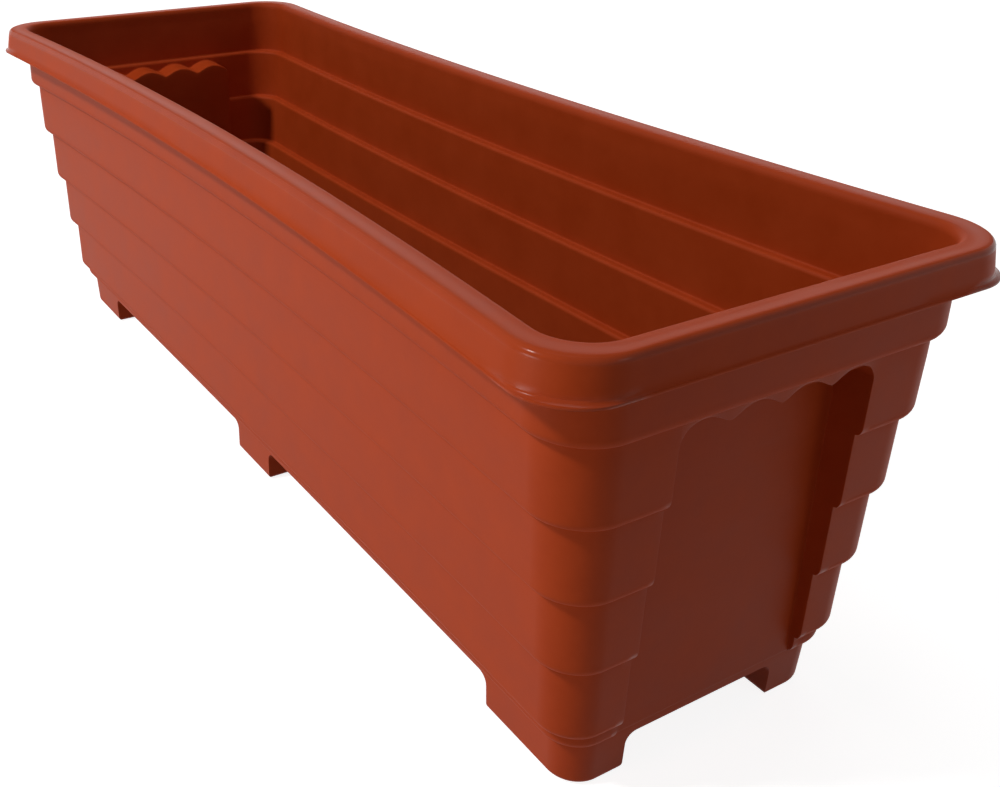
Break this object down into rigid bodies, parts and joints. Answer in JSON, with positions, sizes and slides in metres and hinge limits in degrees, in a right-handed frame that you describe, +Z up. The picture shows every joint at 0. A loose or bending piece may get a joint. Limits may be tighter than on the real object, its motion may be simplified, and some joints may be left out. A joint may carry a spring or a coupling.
{
  "type": "self watering planter",
  "caption": "Stepped rectangular window-box planter with a rolled rim, moulded feet, a lift-out reservoir floor with wick cups, a filler tube, a float gauge and a drain screw.",
  "frame": {"origin": "middle of the footprint, on the ground under the feet", "axes": "+X along the length, +Y across the width, +Z up; the filler and the gauge are near the -Y wall"},
  "size_m": [0.6, 0.218, 0.2],
  "materials": {
    "terracotta_pp": "satin moulded polypropylene",
    "insert_pp": "satin moulded polypropylene",
    "clear_ps": "clear moulded polystyrene",
    "float_foam": "closed-cell foam",
    "white_pp": "moulded polypropylene",
    "red_pp": "moulded polypropylene",
    "epdm_rubber": "moulded rubber",
    "pin_steel": "drawn stainless wire"
  },
  "bodies": {
    "box": {"trough": "terracotta_pp", "overflow_grommet": "epdm_rubber", "overflow_tube": "insert_pp"},
    "left_floor": {"false_floor_left": "insert_pp", "wick_cup_1": "insert_pp", "wick_cup_2": "insert_pp", "gauge_tube": "insert_pp", "gauge_guide": "insert_pp", "gauge_window": "clear_ps"},
    "right_floor": {"false_floor_right": "insert_pp", "wick_cup_3": "insert_pp", "wick_cup_4": "insert_pp", "fill_tube": "insert_pp", "fill_cap_pin": "pin_steel"},
    "filler_cap": {"fill_cap": "insert_pp"},
    "float": {"gauge_float": "float_foam", "gauge_stem": "white_pp", "gauge_tip": "red_pp"},
    "drain_screw": {"drain_plug": "insert_pp", "drain_seal": "epdm_rubber"}
  },
  "joints": [
    {"name": "left_floor_lift", "type": "slide", "parent": "box", "child": "left_floor", "axis": [0, 0, 1], "range_m": [0, 0.15]},
    {"name": "right_floor_lift", "type": "slide", "parent": "box", "child": "right_floor", "axis": [0, 0, 1], "range_m": [0, 0.15]},
    {"name": "filler_cap_hinge", "type": "hinge", "parent": "right_floor", "child": "filler_cap", "pos_m": [0.236, -0.0319, 0.1518], "axis": [-1, 0, 0], "range_deg": [0, 110]},
    {"name": "float_rise", "type": "slide", "parent": "left_floor", "child": "float", "axis": [0, 0, 1], "range_m": [0, 0.036]},
    {"name": "drain_screw_out", "type": "slide", "parent": "box", "child": "drain_screw", "axis": [0, 0, -1], "range_m": [0, 0.005]}
  ]
}
